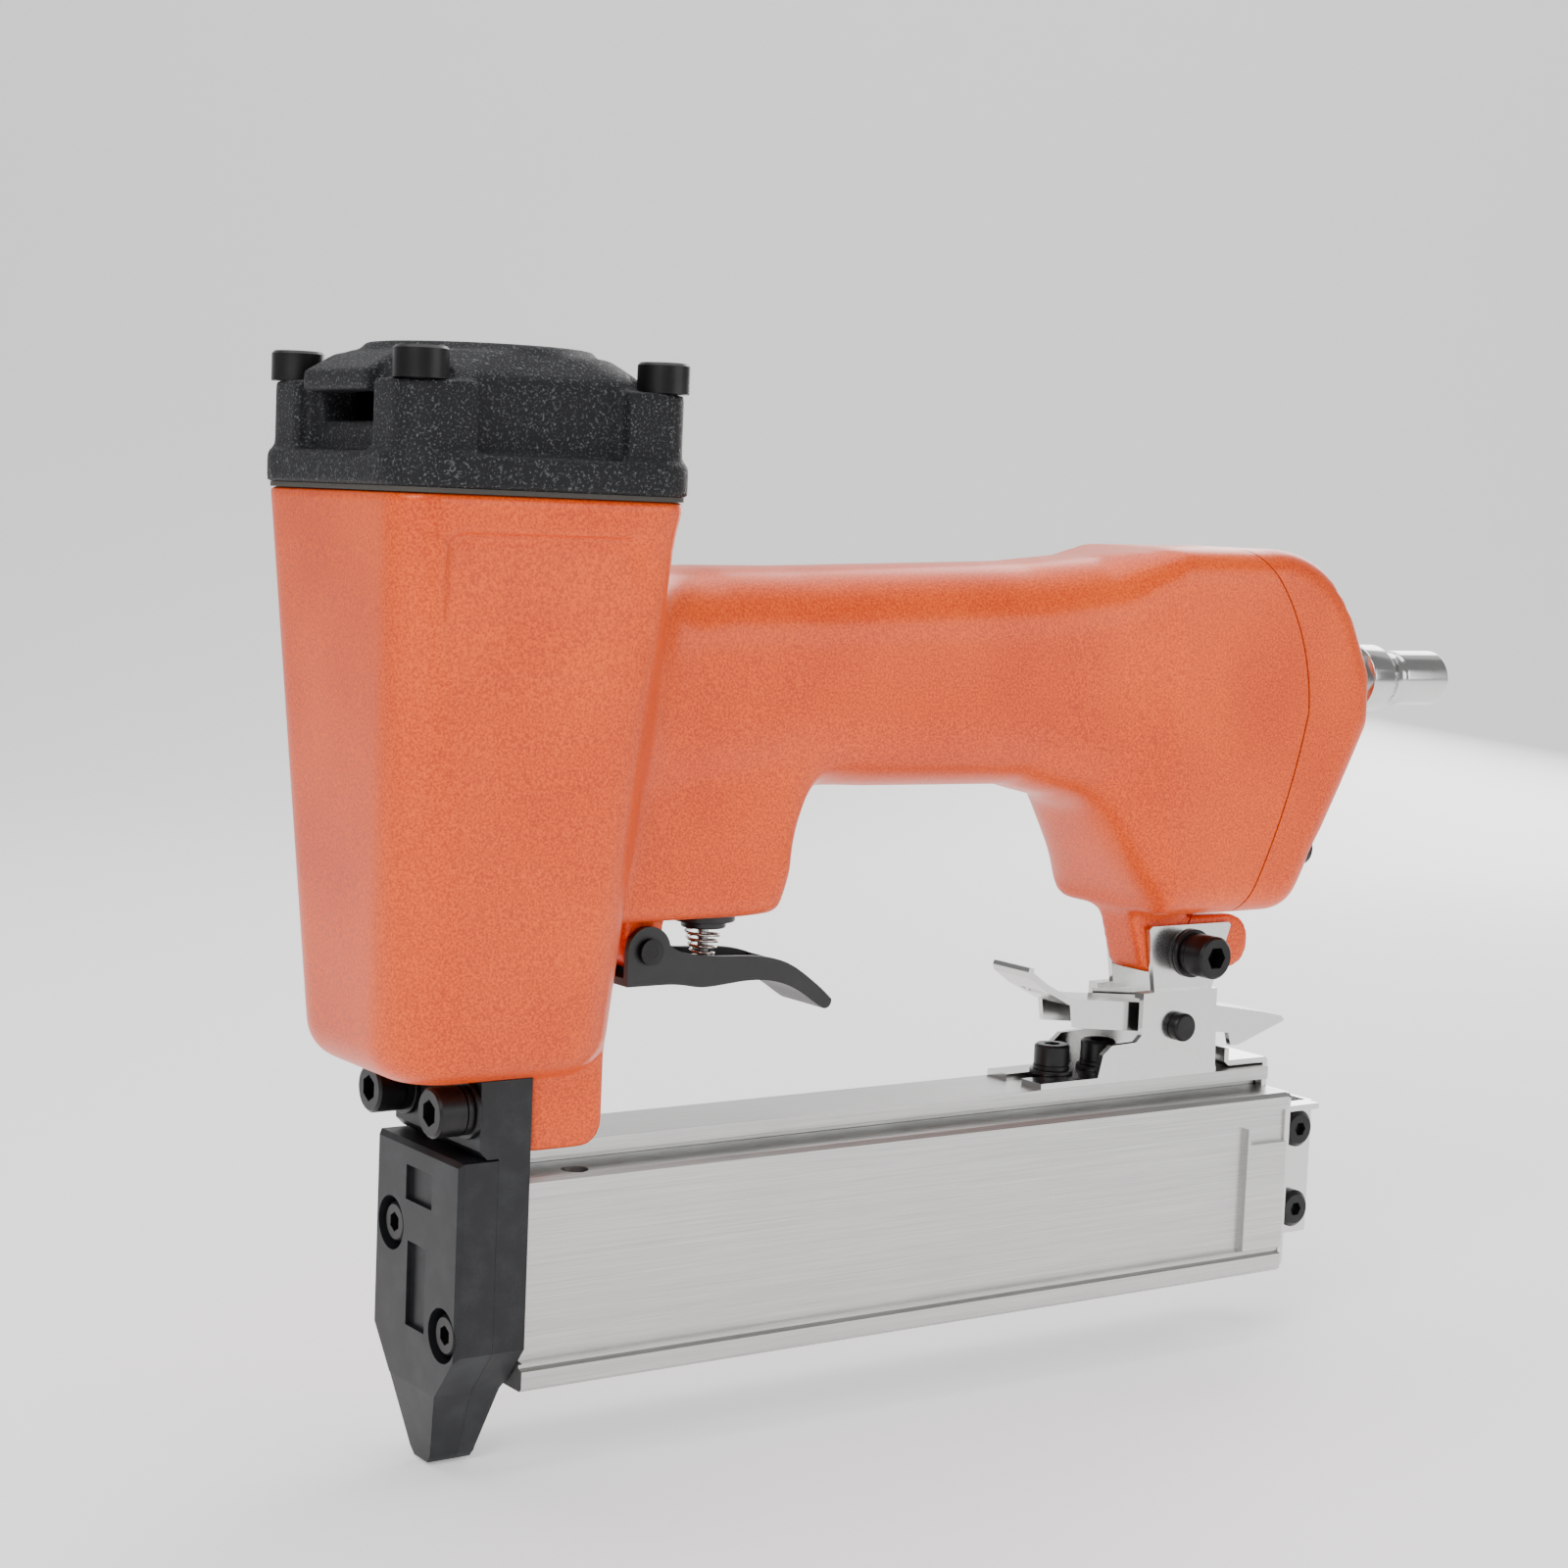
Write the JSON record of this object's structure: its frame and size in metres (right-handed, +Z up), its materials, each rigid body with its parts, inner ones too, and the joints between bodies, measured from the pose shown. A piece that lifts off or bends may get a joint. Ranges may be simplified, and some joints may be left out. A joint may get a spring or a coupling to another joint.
{
  "type": "pneumatic nail gun",
  "caption": "Air-driven brad nailer with a cast body and handle, bolted cylinder cap, steel nose, finger trigger, air plug, and a latched sliding magazine.",
  "frame": {"origin": "bottom of the nose tip, on the driver's line of travel, where the two nose plates meet", "axes": "+X runs back from the nose to the air plug, +Z runs up along the cylinder to the cap, -Y is the side with the latch bolt's head"},
  "size_m": [0.2572, 0.055, 0.1865],
  "materials": {
    "hammer_orange": "fine hammertone enamel",
    "sand_cast_black": "coarse sand-cast black",
    "black_oxide_screws": "black oxide",
    "phosphated_steel": "dark phosphate",
    "satin_black_trigger": "satin black",
    "brushed_aluminium": "lengthwise brushed",
    "bright_nickel": "bright nickel plate",
    "ground_steel": "ground",
    "spring_wire": "drawn wire",
    "black_rubber": "moulded rubber",
    "amber_bumper": "cast urethane",
    "gasket_sheet": "fibre gasket",
    "turned_aluminium": "turned",
    "moulded_black": "moulded nylon"
  },
  "bodies": {
    "frame": {"body_casting": "hammer_orange", "end_cap": "hammer_orange", "cylinder_cap": "sand_cast_black", "cap_screws": "black_oxide_screws", "end_cap_screws": "black_oxide_screws", "nose_plate_screws": "black_oxide_screws", "nose_mount_screws": "black_oxide_screws", "bracket_bolt": "black_oxide_screws", "base_screws": "black_oxide_screws", "trigger_pin": "black_oxide_screws", "nose_flat_washers": "black_oxide_screws", "nose_spring_washers": "black_oxide_screws", "bracket_flat_washer": "black_oxide_screws", "bracket_spring_washer": "black_oxide_screws", "base_flat_washers": "black_oxide_screws", "base_spring_washers": "black_oxide_screws", "bracket_nut": "black_oxide_screws", "latch_pin": "black_oxide_screws", "nose_front_plate": "phosphated_steel", "nose_rear_plate": "phosphated_steel", "trigger_valve_body": "satin_black_trigger", "fixed_magazine": "brushed_aluminium", "rear_bracket": "bright_nickel", "air_plug": "bright_nickel", "head_valve_spring": "spring_wire", "trigger_valve_spring": "spring_wire", "latch_spring": "spring_wire", "sleeve_orings": "black_rubber", "trigger_valve_orings": "black_rubber", "exhaust_seal": "black_rubber", "bumper": "amber_bumper", "cap_gasket": "gasket_sheet", "end_cap_gasket": "gasket_sheet", "cylinder_sleeve": "turned_aluminium"},
    "head_valve_body": {"head_valve": "turned_aluminium", "head_valve_oring": "black_rubber"},
    "piston_driver": {"piston": "turned_aluminium", "piston_oring": "black_rubber", "driver_blade": "ground_steel"},
    "trigger_lever": {"trigger": "satin_black_trigger"},
    "valve_stem": {"trigger_valve_stem": "ground_steel"},
    "latch": {"latch_lever": "bright_nickel"},
    "sliding_magazine": {"movable_magazine": "brushed_aluminium", "magazine_end_plate": "bright_nickel", "magazine_end_block": "moulded_black", "magazine_end_bracket": "bright_nickel", "end_bracket_screws": "black_oxide_screws", "pusher_rod": "ground_steel", "rod_bush": "moulded_black", "pusher_spring": "spring_wire"},
    "nail_pusher": {"pusher": "moulded_black"}
  },
  "joints": [
    {"name": "trigger_pull", "type": "hinge", "parent": "frame", "child": "trigger_lever", "pos_m": [0.0332, 0, 0.0856], "axis": [0, -1, 0], "range_deg": [0, 8], "stiffness_Nm_per_rad": 1.2, "springref_deg": -2.86},
    {"name": "valve_press", "type": "slide", "parent": "frame", "child": "valve_stem", "axis": [0, 0, 1], "range_m": [0, 0.0025], "deforming": ["trigger_valve_spring"]},
    {"name": "head_valve_lift", "type": "slide", "parent": "frame", "child": "head_valve_body", "axis": [0, 0, 1], "range_m": [0, 0.004], "stiffness_N_per_m": 900, "springref_m": -0.004, "deforming": ["head_valve_spring"]},
    {"name": "driver_stroke", "type": "slide", "parent": "frame", "child": "piston_driver", "axis": [0, 0, -1], "range_m": [0, 0.0525]},
    {"name": "latch_press", "type": "hinge", "parent": "frame", "child": "latch", "pos_m": [0.1553, 0, 0.0644], "axis": [0, -1, 0], "range_deg": [0, 14], "stiffness_Nm_per_rad": 0.6, "springref_deg": -4.58},
    {"name": "magazine_slide", "type": "slide", "parent": "frame", "child": "sliding_magazine", "axis": [1, 0, 0], "range_m": [0, 0.112]},
    {"name": "pusher_slide", "type": "slide", "parent": "sliding_magazine", "child": "nail_pusher", "axis": [1, 0, 0], "range_m": [0, 0.11], "stiffness_N_per_m": 12, "springref_m": -0.05, "deforming": ["pusher_spring"]}
  ],
  "couplings": [
    {"joint": "valve_press", "follows": "trigger_pull", "m_per_rad": 0.015}
  ]
}
